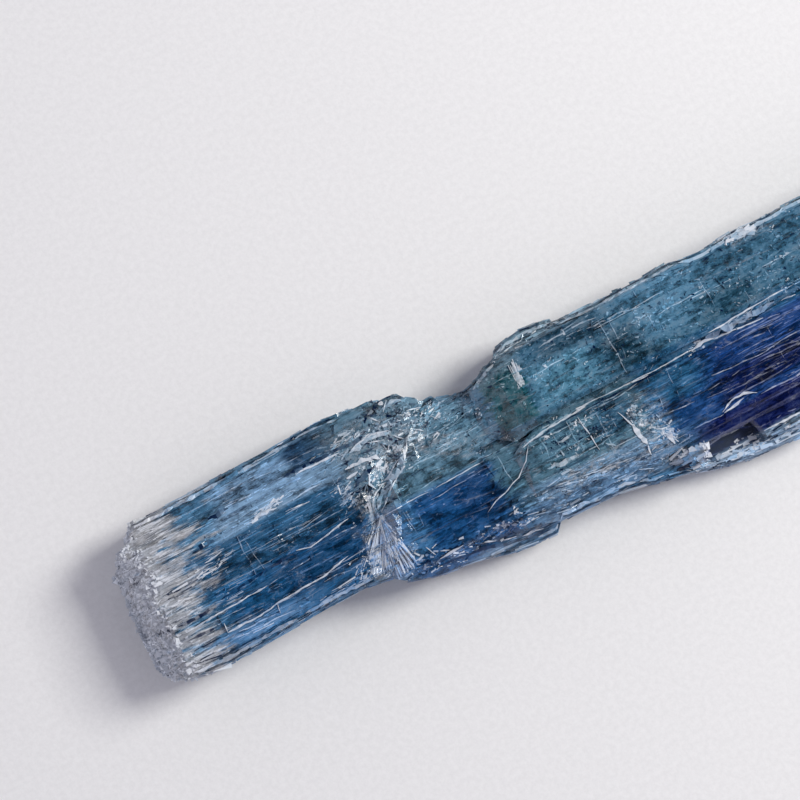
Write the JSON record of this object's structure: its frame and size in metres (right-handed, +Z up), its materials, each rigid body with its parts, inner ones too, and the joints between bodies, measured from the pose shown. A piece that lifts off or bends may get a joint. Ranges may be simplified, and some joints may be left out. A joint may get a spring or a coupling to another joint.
{
  "type": "kyanite blade cluster",
  "caption": "Intergrown cluster of long flat see-through kyanite blades lying on a cleavage face, with stepped tops, a crushed kink and thin pale edge plates.",
  "frame": {"origin": "middle of the footprint, on the plane that the cluster rests on", "axes": "+X along the blades from the pale broken end to the far tip, +Z up from the resting face"},
  "size_m": [0.078, 0.0174, 0.006],
  "materials": {
    "kyanite": "glassy, see-through, streaked blue and teal"
  },
  "bodies": {
    "root": {"kyanite_blades": "kyanite"}
  },
  "joints": []
}
